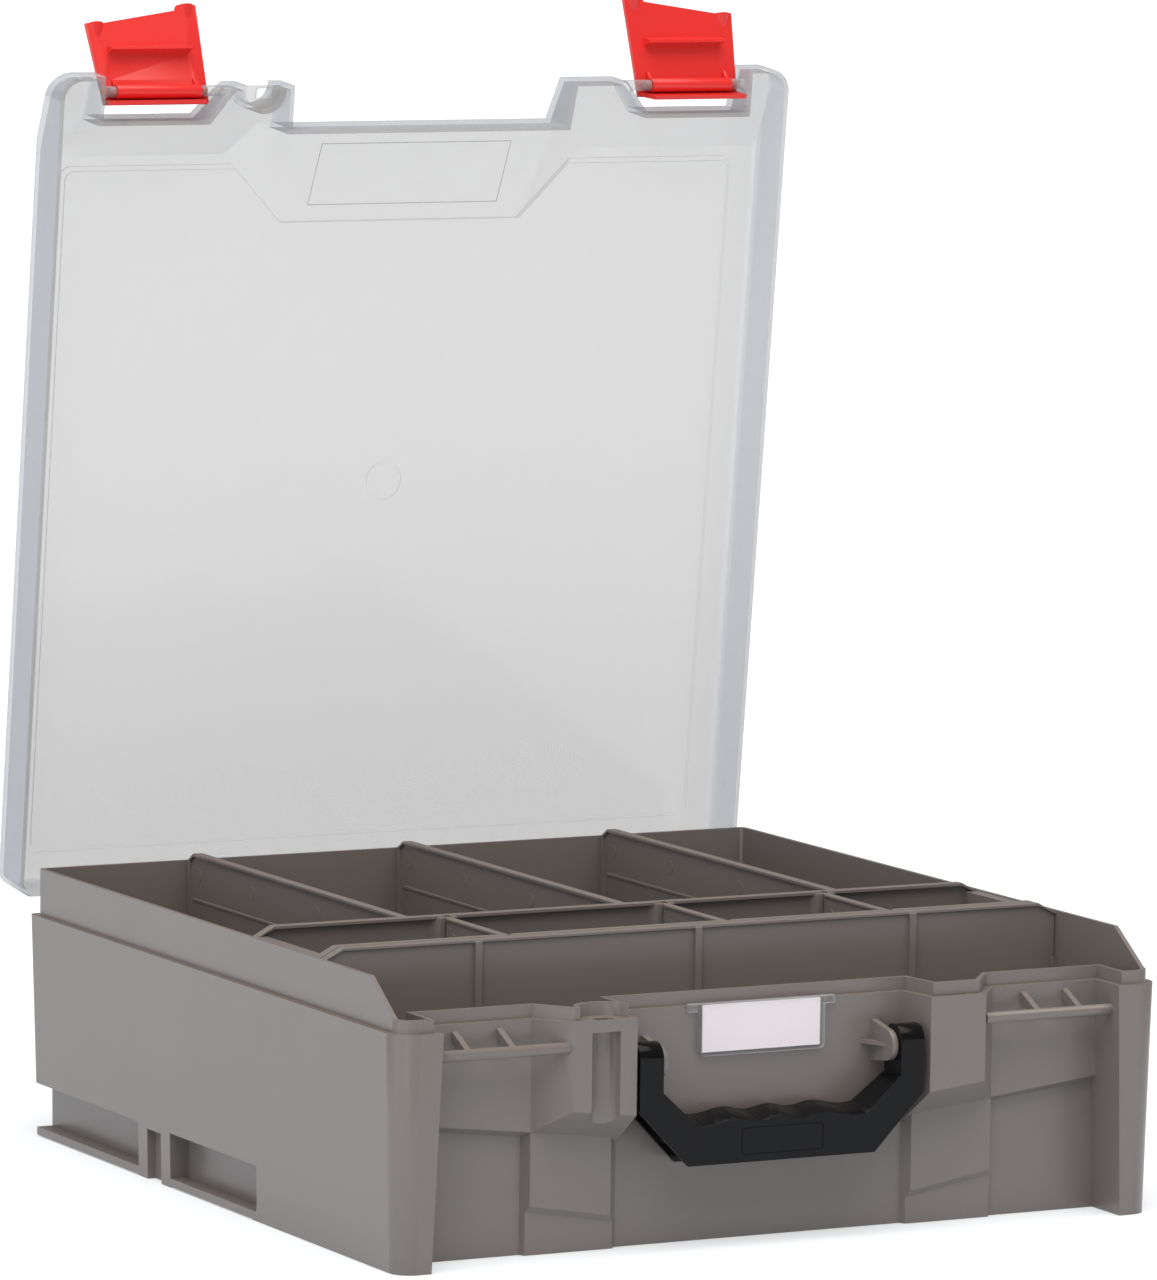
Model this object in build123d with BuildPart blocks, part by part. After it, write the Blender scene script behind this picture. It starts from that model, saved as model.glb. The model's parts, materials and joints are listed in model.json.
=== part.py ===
from build123d import *
import os
from math import atan2, cos, radians, sin, tan

# Compartment storage case: drafted tub, clear lid, two lever latches, carrying
# handle, lift-out bin and removable dividers.
# Millimetres, +Z up, front of the case towards -Y. The origin is the centre of the
# footprint on the floor. The case stands as pictured: lid open, latches open,
# handle hanging, every divider in its place.
# Names that end in _y are distances from the front face, unless they say otherwise.

os.makedirs("parts", exist_ok=True)

# gaps between pieces, and overlaps of the features of one piece
fit_gap = 0.3
run_gap = 0.05
bite = 0.4
over = 1.0

# tub
width = 410.0
depth = 417.0
ledge_z = 112.2
ledge_t = 2.2
rim_z = 135.3
front_rim_z = 118.5
rim_inset = 3.4
wall = 2.3
floor_t = 2.8
side_draft = 3.0
front_draft = 2.0
rear_draft = 2.5
front_corner_r = 12.0
rear_corner_r = 4.0
inside_corner_r = 1.5
rim_slope_y = 36.0
rim_slope_foot_y = 11.0
half = width / 2

# front outline, each stretch measured from the one outside it; distances from the
# centre line end in _in or _out
column_w = 24.0
column_in = half - column_w
column_draft = 4.0
bay_w = 57.0
recess_in = column_in - bay_w
recess_y = 22.5
bay_slant = 13.5
block_out = recess_in - bay_slant
block_y = 5.5
block_in_left = block_out - 33.3
block_in_right = block_out - 30.0
panel_edge_right = block_in_right - 3.0
panel_y = 28.0
block_foot_z = 40.0
block_base_z = 70.0
block_heel_z = 57.0
block_fall = 6.5
pocket_z = 76.0
pocket_w = 25.0
pocket_left_y = 16.0

# pillars below the blocks, their set-back feet, and the overhang of the bay walls
pillar_side = 2.7
pillar_in = recess_in - 42.5
pillar_heel = 5.2
overhang_z = 58.8
overhang_drop = 3.2
foot_y = 25.0
foot_top = 23.7
foot_drop = 3.1
foot_fall = 9.7

# padlock station in the left block and the lid
lock_x = 17.0 - block_out
lock_y = 8.0
lock_groove_r = 7.5
lock_groove_top = 106.5
lock_u_r = 9.5
lock_gap = 0.6
eye_y = 9.5
eye_w = 9.5
eye_d = 5.5
eye_r = 1.2
eye_plate_t = 2.5

# latch keepers
latch_x = column_in - 31.0
keeper_y = 8.6
keeper_z = 99.8
keeper_r = 2.75
strut_x = (column_in - 16.8, column_in - 40.1)
strut_t = 3.0
strut_head = 9.4
strut_foot = 4.6

# latches
latch_pivot_y = 8.5
latch_pivot_z = 118.3
latch_barrel_r = 3.5
latch_barrel_l = 46.0
latch_face_t = 2.4
latch_face_gap = 3.3
latch_reach = 41.5
latch_tip_rise = 4.6
latch_lip = 5.0
latch_top_w = 57.0
latch_tip_w = 61.6
latch_horn_r = 5.2
latch_horn_l = 14.0
latch_horn_tip_r = 0.5
latch_horn_in = 0.2
latch_horn_rise = 1.3
latch_flange_d = 9.5
latch_flange_t = 2.0
latch_flange_tilt = 24.0
latch_flange_cut = 5.0
latch_flange_flare = 0.9
latch_fin_t = 1.6
latch_fin_h = 4.0
latch_stub_r = 2.0
latch_stub_l = 3.0
latch_boss_r = 2.8
hook_drop = 21.55
hook_t = 3.8
hook_l = 44.0
hook_back = 3.0
hook_nose = 1.4
latch_open_left = 121.0
latch_open_right = 112.0

# lid
lid_wall = 2.2
lid_slope_wall = 2.3
lid_top_z = 142.5
lid_edge_z = ledge_z + fit_gap
lid_corner_r = 7.0
lid_edge_r = 4.0
lid_slope_y = 44.5
lid_slope = 18.0
dip_back_y = 80.0
dip_side_x = block_out - 9.5
dip_back_x = dip_side_x - 33.5
dip_slope = 6.1
dip_side_slope = 13.2
panel_inset = 15.0
panel_front_y = 50.0
panel_rise = 0.8
panel_r = 6.0
gate_y = depth / 2 + 7.0
gate_r = 10.4
gate_line = 1.2
gate_depth = 0.4
lid_open = 83.6

# hinge
hinge_y = depth + 9.3
hinge_z = 108.9
hinge_x = half - 95.0
hinge_pin_r = 2.0
lug_r = 4.6
lug_w = 8.0
lug_head = 2.6
lug_foot = 13.0
knuckle_w = 20.0
knuckle_r = 4.4
knuckle_root = 14.0

# handle
handle_out = block_in_left - 0.9
handle_arm = 12.5
handle_front = 4.0
handle_back = 20.5
handle_top = 99.5
handle_top_r = 7.5
handle_cap_z = 79.3
handle_knee = 67.6
handle_bottom = 40.2
handle_grip = 60.4
handle_grip_rise = 3.2
handle_inner_knee = 76.0
handle_foot = handle_out - 26.3
handle_grip_foot = handle_foot - 4.0
handle_skin = 2.4
handle_ribs = 8
handle_rib_t = 1.6
finger_wave = 0.9
badge_w = 44.0
badge_h = 13.0
badge_line = 0.5
badge_depth = 0.4
handle_pivot_y = 14.0
handle_pivot_z = 89.5
handle_stud_r = 3.0
ear_in = handle_out - handle_arm - 3.4
ear_t = 3.0
ear_skin = 0.8
ear_r = 7.6
ear_rise = 10.4
ear_drop = 9.6
gusset_w = 6.0
gusset_d = 15.0
gusset_t = 1.8

# label holder on the panel
holder_w = 67.0
holder_h = 25.2
holder_d = 3.8
holder_top = 113.2
holder_r = 2.5
holder_lip_w = 79.0
holder_lip_h = 4.0
holder_lip_d = 2.8
holder_back = 0.9
card_w = 63.4
card_h = 22.6
card_t = 0.5
card_gap = 1.1
card_drop = 1.0

# side recesses with the rack rails
rail_recess_y = 154.0
rail_recess_z = 26.8
rail_recess_d = 12.5
rail_rib_y0 = 252.0
rail_rib_y1 = 289.0
rail_start = 1.5
rail_end = 5.0
rail_corner_r = 10.0
rail_top = 4.4
rail_t = 2.2
rail_lip = 1.8
rail_lip_h = 1.7
rib_groove_w = 16.0
rib_groove_d = 7.0

# dividers
row_pitch = 118.0
row_x = (-row_pitch, 0.0, row_pitch)
divider_t = 2.4
divider_top = 139.7
bead_w = 5.2
bead_h = 1.6
bead_end = 3.0
corner_cut = 10.0
corner_drop = 5.3
row_corner_l = 7.2
row_corner_h = 4.4
rib_line_z = 116.0
rib_line_h = 1.4
rib_line_d = 0.6
rib_line_end = 6.0

# ribs that hold the rear dividers and the front partition in the tub
row_rib_w = 2.2
row_rib_d = 3.6
row_rib_h = 97.0
part_rib_t = 1.7
part_rib_d = 2.6
part_rib_h = 110.0

# front partition
partition_y = 92.5
stiffener_w = 3.8
stiffener_d = 2.4

# lift-out bin
bin_y0 = 96.0
bin_y1 = 170.0
bin_wall = 2.4
bin_floor_t = 2.2
bin_flange_in = 12.7
bin_flange_t = 1.8
bin_draft = 6.0
bin_wing_z = 34.8
middle_x = (-97.0, 21.5, 111.0)
middle_bead_w = 4.4
middle_drop = 0.8
post_w = 6.4
post_d = 4.2
post_taper = 0.45
row_post_w = 2.6
row_post_d = 3.2

front = -depth / 2
inner = rim_inset + wall


def fy(y):
    """Distance from the front face turned into a Y coordinate."""
    return front + y


def outline():
    """Outer outline at the ledge, from the rear left corner round to the right."""
    return [
        (-half, fy(depth)),
        (-half, fy(0)),
        (-column_in, fy(0)),
        (-column_in, fy(recess_y)),
        (-recess_in, fy(recess_y)),
        (-block_out, fy(block_y)),
        (-block_in_left, fy(block_y)),
        (-block_in_left, fy(panel_y)),
        (panel_edge_right, fy(panel_y)),
        (block_in_right, fy(block_y)),
        (block_out, fy(block_y)),
        (recess_in, fy(recess_y)),
        (column_in, fy(recess_y)),
        (column_in, fy(0)),
        (half, fy(0)),
        (half, fy(depth)),
    ]


def lower_outline(side=0.0, toe=0.0, heel=0.0, column=0.0, skin=0.0, pillar_y=recess_y):
    """Outline below the blocks, moved in by the drafts; skin gives its inside."""
    column_x = column_in + column + skin
    left = [
        (-half + side + skin, fy(depth - heel - skin)),
        (-half + side + skin, fy(toe + skin)),
        (-column_x, fy(toe + skin)),
        (-column_x, fy(panel_y + skin)),
        (-recess_in - pillar_side + skin / 2, fy(panel_y + skin)),
        (-recess_in + skin / 2, fy(pillar_y + skin)),
        (-pillar_in - skin / 2, fy(pillar_y + skin)),
        (-pillar_in + pillar_heel - skin / 2, fy(panel_y + skin)),
    ]
    right = [
        (panel_edge_right + skin / 2, fy(panel_y + skin)),
        (block_in_right + skin / 2, fy(pillar_y + skin)),
        (recess_in - skin / 2, fy(pillar_y + skin)),
        (recess_in + pillar_side - skin / 2, fy(panel_y + skin)),
    ]
    return left + right + [(-x, y) for x, y in reversed(left[:4])]


def corners(sketch, x, y):
    """The left and right vertices of a sketch nearest to (x, y)."""
    picked = []
    for side in (-1, 1):
        picked.append(sketch.vertices().sort_by_distance((side * x, y, 0))[0])
    return picked


def side_plane(x):
    """Plane across the case at x: sketch X is the case's Y, sketch Y is Z."""
    return Plane(origin=(x, 0, 0), x_dir=(0, 1, 0), z_dir=(1, 0, 0))


def front_plane(y, x=0.0):
    """Plane facing the front, y behind the front face; negative extrudes go back."""
    return Plane(origin=(x, fy(y), 0), x_dir=(1, 0, 0), z_dir=(0, -1, 0))


def inward(side):
    """Alignment of a box that reaches from one side wall towards the middle."""
    return Align.MIN if side < 0 else Align.MAX


def under_cut(side, x, y0, y1, top, drop, fall):
    """Body below an underside that goes back from (y0, top) to y1 and falls inwards."""
    a = radians(fall)
    reach = 30.0
    margin = 8.0
    steep = drop / (y1 - y0)
    high = (top + reach * tan(a)) * cos(a)
    flip = 1 if side < 0 else -1
    plane = Plane(
        origin=(side * (x + reach), 0, 0),
        x_dir=(0, 1, 0),
        z_dir=(-side * cos(a), 0, -sin(a)),
    )
    with BuildPart() as body:
        with BuildSketch(plane):
            Polygon(
                (fy(y0 - margin), flip * high),
                (fy(y0), flip * high),
                (fy(y1 + margin), flip * (high - steep * (y1 + margin - y0))),
                (fy(y1 + margin), -flip * high),
                (fy(y0 - margin), -flip * high),
                align=None,
            )
        extrude(amount=column_in / cos(a))
    return body.part


def front_block(side):
    """Block beside the latch recess; side is -1 for the padlock block."""
    inner_x = block_in_left if side < 0 else block_in_right
    edge_x = block_in_left if side < 0 else panel_edge_right
    with BuildPart() as block:
        with BuildSketch(Plane.XY.offset(block_foot_z)):
            Polygon(
                (side * recess_in, fy(recess_y)),
                (side * block_out, fy(block_y)),
                (side * inner_x, fy(block_y)),
                (side * edge_x, fy(panel_y + over)),
                (side * recess_in, fy(panel_y + over)),
                align=None,
            )
        extrude(amount=ledge_z - block_foot_z)
        fall = block_base_z - block_heel_z
        cut = under_cut(side, block_out, block_y, recess_y, block_base_z, fall, block_fall)
        add(cut, mode=Mode.SUBTRACT)
    return block.part


def bay_wall(side):
    """Upper wall of a latch bay, which overhangs the wall below it."""
    with BuildPart() as bay:
        with BuildSketch(front_plane(recess_y)):
            Polygon(
                (side * (column_in + wall), block_foot_z),
                (side * (recess_in - bite), block_foot_z),
                (side * (recess_in - bite), ledge_z),
                (side * (column_in + wall), ledge_z),
                align=None,
            )
        extrude(amount=-(panel_y + over - recess_y))
        top = overhang_z + bay_w * tan(radians(block_fall))
        cut = under_cut(side, column_in, recess_y, panel_y, top, overhang_drop, block_fall)
        add(cut, mode=Mode.SUBTRACT)
    return bay.part


def toe_cut(side):
    """Space in front of the set-back foot of a pillar."""
    foot = under_cut(side, recess_in, recess_y, foot_y, foot_top, foot_drop, foot_fall)
    with BuildPart() as toe:
        with Locations((side * (recess_in + pillar_side), fy(foot_y), -over)):
            Box(
                recess_in + pillar_side - pillar_in + pillar_heel,
                panel_y,
                ledge_z / 2,
                align=(inward(side), Align.MAX, Align.MIN),
            )
        add(foot, mode=Mode.INTERSECT)
    return toe.part


with BuildPart() as tub:
    # outer body below the ledge
    with BuildSketch(Plane.XY) as bottom_sk:
        Polygon(*lower_outline(side_draft, front_draft, rear_draft, column_draft), align=None)
        fillet(corners(bottom_sk, half, fy(0)), front_corner_r - front_draft)
        fillet(corners(bottom_sk, half, fy(depth)), rear_corner_r)
    with BuildSketch(Plane.XY.offset(ledge_z)) as ledge_sk:
        Polygon(*lower_outline(), align=None)
        fillet(corners(ledge_sk, half, fy(0)), front_corner_r)
        fillet(corners(ledge_sk, half, fy(depth)), rear_corner_r)
    loft(ruled=True)
    for side in (-1, 1):
        add(toe_cut(side), mode=Mode.SUBTRACT)
    for side in (-1, 1):
        add(front_block(side))
        add(bay_wall(side))
    # rim the lid closes over
    with BuildSketch(Plane.XY.offset(ledge_z)) as rim_sk:
        Polygon(*outline(), align=None)
        fillet(corners(rim_sk, half, fy(0)), front_corner_r)
        fillet(corners(rim_sk, half, fy(depth)), lid_corner_r)
        offset(amount=-rim_inset, kind=Kind.INTERSECTION)
        with Locations((lock_x, fy(lock_y))):
            Circle(lock_u_r + lid_wall + lock_gap, mode=Mode.SUBTRACT)
    extrude(amount=rim_z - ledge_z)
    # cavity inside the rim
    with BuildSketch(Plane.XY.offset(ledge_z - ledge_t)) as mouth_sk:
        Polygon(*outline(), align=None)
        fillet(corners(mouth_sk, half, fy(0)), front_corner_r)
        fillet(corners(mouth_sk, half, fy(depth)), inner + inside_corner_r)
        offset(amount=-inner, kind=Kind.INTERSECTION)
        with Locations((lock_x, fy(lock_y))):
            Circle(lock_u_r + lid_wall + lock_gap + wall, mode=Mode.SUBTRACT)
    extrude(amount=rim_z - ledge_z + ledge_t + over, mode=Mode.SUBTRACT)
    # cavity below the ledge
    with BuildSketch(Plane.XY.offset(floor_t)) as cavity_sk:
        Polygon(
            *lower_outline(rim_inset, rim_inset, rim_inset, column_draft, wall, foot_y),
            align=None,
        )
        fillet(corners(cavity_sk, half - inner, fy(inner)), front_corner_r - inner)
        fillet(corners(cavity_sk, half - inner, fy(depth - inner)), inside_corner_r)
    extrude(amount=ledge_z - ledge_t - floor_t, mode=Mode.SUBTRACT)
    # space behind the upper bay walls
    bay_top = overhang_z + bay_w * tan(radians(block_fall)) + wall
    for side in (-1, 1):
        with Locations((side * (recess_in + wall), fy(recess_y + wall), bay_top)):
            Box(
                bay_w,
                panel_y - recess_y + wall,
                ledge_z - ledge_t - bay_top,
                align=(Align.MIN if side > 0 else Align.MAX, Align.MIN, Align.MIN),
                mode=Mode.SUBTRACT,
            )
    # pockets behind the two front blocks
    pocket_right_y = block_y + wall + fit_gap
    for x, y, top in (
        (lock_x, pocket_left_y, ledge_z - ledge_t),
        ((block_out + block_in_right) / 2, pocket_right_y, ledge_z),
    ):
        with Locations((x, fy(y), pocket_z)):
            Box(
                pocket_w,
                panel_y + 2 * wall - y,
                top - pocket_z,
                align=(Align.CENTER, Align.MIN, Align.MIN),
                mode=Mode.SUBTRACT,
            )
    # front of the rim: low across the front, sloping at the side walls
    with Locations((0, fy(-over), front_rim_z)):
        Box(
            width - 2 * inner - 2 * fit_gap,
            rim_slope_y + over,
            rim_z - front_rim_z + over,
            align=(Align.CENTER, Align.MIN, Align.MIN),
            mode=Mode.SUBTRACT,
        )
    with BuildSketch(side_plane(-half - over)):
        Polygon(
            (fy(-over), front_rim_z),
            (fy(rim_slope_foot_y), front_rim_z),
            (fy(rim_slope_y), rim_z),
            (fy(rim_slope_y), rim_z + over),
            (fy(-over), rim_z + over),
            align=None,
        )
    extrude(amount=width + 2 * over, mode=Mode.SUBTRACT)
    # padlock groove and eye in the left block
    with BuildSketch(Plane.XY.offset(block_foot_z)):
        with Locations((lock_x, fy(block_y))):
            Circle(lock_groove_r)
    extrude(amount=lock_groove_top - block_foot_z, mode=Mode.SUBTRACT)
    with BuildSketch(Plane.XY.offset(lock_groove_top - over)):
        with Locations((lock_x, fy(eye_y))):
            RectangleRounded(eye_w, eye_d, eye_r)
    extrude(amount=ledge_z - lock_groove_top + 2 * over, mode=Mode.SUBTRACT)
    # keeper bars with their struts
    keeper_in = block_out + 1.5
    keeper_out = column_in + bite
    for side in (-1, 1):
        with BuildSketch(side_plane(keeper_in if side > 0 else -keeper_out)):
            with Locations((fy(keeper_y), keeper_z)):
                Circle(keeper_r)
        extrude(amount=keeper_out - keeper_in)
        for x in strut_x:
            with BuildSketch(side_plane(side * x - strut_t / 2)):
                Polygon(
                    (fy(recess_y + bite), keeper_z + strut_head),
                    (fy(keeper_y), keeper_z + 0.9 * keeper_r),
                    (fy(keeper_y + keeper_r / 2), keeper_z - 0.6 * keeper_r),
                    (fy(recess_y + bite), keeper_z + strut_foot),
                    align=None,
                )
            extrude(amount=strut_t)
    # ears that carry the handle, blind on their inner faces, with a gusset inside each
    for side in (-1, 1):
        x = side * (ear_in + ear_t / 2)
        with BuildSketch(side_plane(x - ear_t / 2)):
            Polygon(
                (fy(panel_y + bite), handle_pivot_z + ear_rise),
                (fy(handle_pivot_y), handle_pivot_z + ear_r),
                (fy(handle_pivot_y), handle_pivot_z - ear_r),
                (fy(panel_y + bite), handle_pivot_z - ear_drop),
                align=None,
            )
            with Locations((fy(handle_pivot_y), handle_pivot_z)):
                Circle(ear_r)
        extrude(amount=ear_t)
        with BuildSketch(side_plane(x + side * (ear_skin - ear_t / 2))):
            with Locations((fy(handle_pivot_y), handle_pivot_z)):
                Circle(handle_stud_r + run_gap)
        extrude(amount=side * ear_t, mode=Mode.SUBTRACT)
        with BuildSketch(Plane.XY.offset(handle_pivot_z - gusset_t / 2)):
            Polygon(
                (side * (ear_in + bite), fy(panel_y + bite)),
                (side * (ear_in - gusset_w), fy(panel_y + bite)),
                (side * (ear_in + bite), fy(panel_y - gusset_d)),
                align=None,
            )
        extrude(amount=gusset_t)
    # side recesses with the rack rails and their middle ribs
    recess_in_x = rail_recess_d - side_draft
    for side in (-1, 1):
        with Locations((side * (half - side_draft), fy(rail_recess_y - wall), over)):
            Box(
                recess_in_x + wall,
                depth - rail_recess_y + wall - rear_draft - rail_start,
                rail_recess_z + wall - over,
                align=(inward(side), Align.MIN, Align.MIN),
            )
        for y0, y1, r in (
            (rail_recess_y, rail_rib_y0, rail_corner_r),
            (rail_rib_y1, depth + over, inside_corner_r),
        ):
            with BuildSketch(side_plane(side * (half + over))) as mouth:
                with Locations((fy(y0), -over)):
                    Rectangle(y1 - y0, rail_recess_z + over, align=(Align.MIN, Align.MIN))
                near_top = mouth.vertices().sort_by_distance((side * half, fy(y0), rail_recess_z))[0]
                fillet(near_top, r)
            extrude(amount=-side * (rail_recess_d + over), mode=Mode.SUBTRACT)
        for y0, y1 in ((rail_recess_y + rail_start, rail_rib_y0), (rail_rib_y1, depth - rail_end)):
            with Locations((side * (half - side_draft), fy(y0), rail_top)):
                Box(recess_in_x + bite, y1 - y0, rail_t, align=(inward(side), Align.MIN, Align.MAX))
            with Locations((side * (half - side_draft), fy(y0), rail_top - rail_t)):
                Box(rail_lip, y1 - y0, rail_lip_h, align=(inward(side), Align.MIN, Align.MAX))
        # square groove down the middle rib
        with Locations((side * half, fy((rail_rib_y0 + rail_rib_y1) / 2), -over)):
            Box(
                2 * rib_groove_d,
                rib_groove_w,
                rail_recess_z - over,
                align=(Align.CENTER, Align.CENTER, Align.MIN),
                mode=Mode.SUBTRACT,
            )
    # rib pairs that hold the rear ends of the rear dividers
    for x in row_x:
        for side in (-1, 1):
            rib_x = x + side * (bead_w / 2 + fit_gap + row_rib_w / 2)
            with Locations((rib_x, fy(depth - inner + bite), floor_t - bite)):
                Box(row_rib_w, row_rib_d + bite, row_rib_h, align=(Align.CENTER, Align.MAX, Align.MIN))
    # rib pairs on the side walls for the front partition
    for side in (-1, 1):
        for way in (-1, 1):
            rib_y = partition_y + way * (divider_t / 2 + fit_gap + part_rib_t / 2)
            with Locations((side * (half - inner + bite), fy(rib_y), floor_t - bite)):
                Box(
                    part_rib_d + bite,
                    part_rib_t,
                    part_rib_h,
                    align=(inward(side), Align.CENTER, Align.MIN),
                )
    # hinge lugs on the rear wall
    for side in (-1, 1):
        for shift in (-1, 1):
            x = side * hinge_x + shift * (knuckle_w + 2 * fit_gap + lug_w) / 2
            with BuildSketch(side_plane(x - lug_w / 2)):
                Polygon(
                    (fy(depth - over), hinge_z + lug_head),
                    (fy(hinge_y), hinge_z + lug_r),
                    (fy(hinge_y), hinge_z - lug_r),
                    (fy(depth - over), hinge_z - lug_foot),
                    align=None,
                )
                with Locations((fy(hinge_y), hinge_z)):
                    Circle(lug_r)
                    Circle(hinge_pin_r, mode=Mode.SUBTRACT)
            extrude(amount=lug_w)
tub.part.label = "case_tub"
export_step(tub.part, "parts/case_tub.step")


def lid_relief():
    """Body to take off the lid, so that its front and its middle slope down."""
    far = width
    back_run = dip_back_y + over
    front_run = lid_slope_y + over
    along = atan2(dip_back_y - lid_slope_y, dip_side_x - dip_back_x)
    with BuildPart() as relief:
        # the dip in the middle, falling to the front and in from both sides
        with BuildSketch(side_plane(-dip_side_x - over)):
            Polygon(
                (fy(dip_back_y), lid_top_z),
                (fy(-over), lid_top_z - back_run * tan(radians(dip_slope))),
                (fy(-over), rim_z + far),
                (fy(dip_back_y), rim_z + far),
                align=None,
            )
        extrude(amount=2 * (dip_side_x + over))
        for side in (-1, 1):
            cross = Plane(
                origin=(side * dip_side_x, fy(lid_slope_y), lid_top_z),
                x_dir=(-side * sin(along), -cos(along), 0),
                z_dir=(-side * cos(along), sin(along), 0),
            )
            up = 1 if side > 0 else -1
            with BuildSketch(cross):
                Polygon(
                    (0, 0),
                    (far, -up * far * tan(radians(dip_side_slope))),
                    (far, up * 2 * far),
                    (0, up * 2 * far),
                    align=None,
                )
            extrude(amount=far, both=True, mode=Mode.INTERSECT)
        # the slope along the whole front edge
        with BuildSketch(side_plane(-half - over)):
            Polygon(
                (fy(lid_slope_y), lid_top_z),
                (fy(-over), lid_top_z - front_run * tan(radians(lid_slope))),
                (fy(-over), lid_top_z + far),
                (fy(lid_slope_y), lid_top_z + far),
                align=None,
            )
        extrude(amount=width + 2 * over)
    return relief.part


def back_edges(body):
    """Upper edges along the two sides and the back of a body."""
    rim_edges = body.faces().sort_by(Axis.Z)[-1].outer_wire().edges()
    return rim_edges.filter_by(lambda edge: edge.center().Y > fy(lid_slope_y))


relief = lid_relief()
panel_mid_y = (depth - panel_inset + panel_front_y) / 2
panel_w = width - 2 * panel_inset
panel_d = depth - panel_inset - panel_front_y

# Space inside the lid, one wall in from its outer shape.
with BuildPart() as hollow:
    with BuildSketch(Plane.XY.offset(lid_edge_z - over)) as hollow_sk:
        Polygon(*outline(), align=None)
        fillet(corners(hollow_sk, half, fy(0)), front_corner_r)
        fillet(corners(hollow_sk, half, fy(depth)), lid_corner_r)
        offset(amount=-lid_wall, kind=Kind.INTERSECTION)
        with Locations((lock_x, fy(lock_y))):
            Circle(lock_u_r + lid_wall, mode=Mode.SUBTRACT)
    extrude(amount=lid_top_z - lid_wall - lid_edge_z + over)
    fillet(back_edges(hollow), lid_edge_r - lid_wall)
    with BuildSketch(Plane.XY.offset(lid_top_z - lid_wall)):
        with Locations((0, fy(panel_mid_y))):
            RectangleRounded(panel_w - 2 * lid_wall, panel_d - 2 * lid_wall, panel_r - over)
    extrude(amount=panel_rise)
    add(relief.moved(Location((0, 0, -lid_slope_wall))), mode=Mode.SUBTRACT)

# Lid, built closed on the case and swung open at the end.
with BuildPart() as lid_closed:
    with BuildSketch(Plane.XY.offset(lid_edge_z)) as lid_sk:
        Polygon(*outline(), align=None)
        fillet(corners(lid_sk, half, fy(0)), front_corner_r)
        fillet(corners(lid_sk, half, fy(depth)), lid_corner_r)
        with Locations((lock_x, fy(lock_y))):
            Circle(lock_u_r, mode=Mode.SUBTRACT)
    extrude(amount=lid_top_z - lid_edge_z)
    fillet(back_edges(lid_closed), lid_edge_r)
    with BuildSketch(Plane.XY.offset(lid_top_z)):
        with Locations((0, fy(panel_mid_y))):
            RectangleRounded(panel_w, panel_d, panel_r)
    extrude(amount=panel_rise)
    add(relief, mode=Mode.SUBTRACT)
    # bosses between the sides of the latch recesses and the ends of the barrels
    boss_end = latch_barrel_l / 2 + fit_gap
    for side in (-1, 1):
        for x0, x1 in (
            (latch_x + boss_end, column_in + lid_wall),
            (latch_x - boss_end, block_out + over),
        ):
            x_mid = side * (x0 + x1) / 2
            with Locations(Location((x_mid, fy(latch_pivot_y), latch_pivot_z), (0, 90, 0))):
                Cylinder(latch_boss_r, abs(x1 - x0))
    add(hollow.part, mode=Mode.SUBTRACT)
    # padlock eye: a plate across the foot of the U-shaped notch
    with BuildSketch(Plane.XY.offset(lid_edge_z)):
        with Locations((lock_x, fy(lock_y))):
            Circle(lock_u_r + bite)
        with Locations((lock_x, fy(block_y))):
            Rectangle(4 * lock_u_r, 2 * lock_u_r, align=(Align.CENTER, Align.MAX), mode=Mode.SUBTRACT)
        with Locations((lock_x, fy(eye_y))):
            RectangleRounded(eye_w, eye_d, eye_r, mode=Mode.SUBTRACT)
    extrude(amount=eye_plate_t)
    # blind bores for the latch stubs
    for side in (-1, 1):
        with Locations(Location((side * latch_x, fy(latch_pivot_y), latch_pivot_z), (0, 90, 0))):
            Cylinder(
                latch_stub_r + run_gap,
                latch_barrel_l + 2 * fit_gap + 2 * latch_stub_l + over,
                mode=Mode.SUBTRACT,
            )
    # hinge knuckles behind the rear wall
    for side in (-1, 1):
        with BuildSketch(side_plane(side * hinge_x - knuckle_w / 2)):
            Polygon(
                (fy(depth - bite), lid_edge_z + over + knuckle_root),
                (fy(depth - bite), lid_edge_z + over),
                (fy(depth + 4), hinge_z + lug_r / 2),
                (fy(hinge_y), hinge_z - knuckle_r),
                (fy(hinge_y + knuckle_r), hinge_z),
                (fy(hinge_y + knuckle_r / 2), hinge_z + 2 * knuckle_r),
                align=None,
            )
            with Locations((fy(hinge_y), hinge_z)):
                Circle(knuckle_r)
                Circle(hinge_pin_r + run_gap, mode=Mode.SUBTRACT)
        extrude(amount=knuckle_w)
    # shallow round gate mark in the middle of the panel
    with BuildSketch(Plane.XY.offset(lid_top_z + panel_rise)):
        with Locations((0, fy(gate_y))):
            Circle(gate_r)
            Circle(gate_r - gate_line, mode=Mode.SUBTRACT)
    extrude(amount=-gate_depth, mode=Mode.SUBTRACT)


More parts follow.
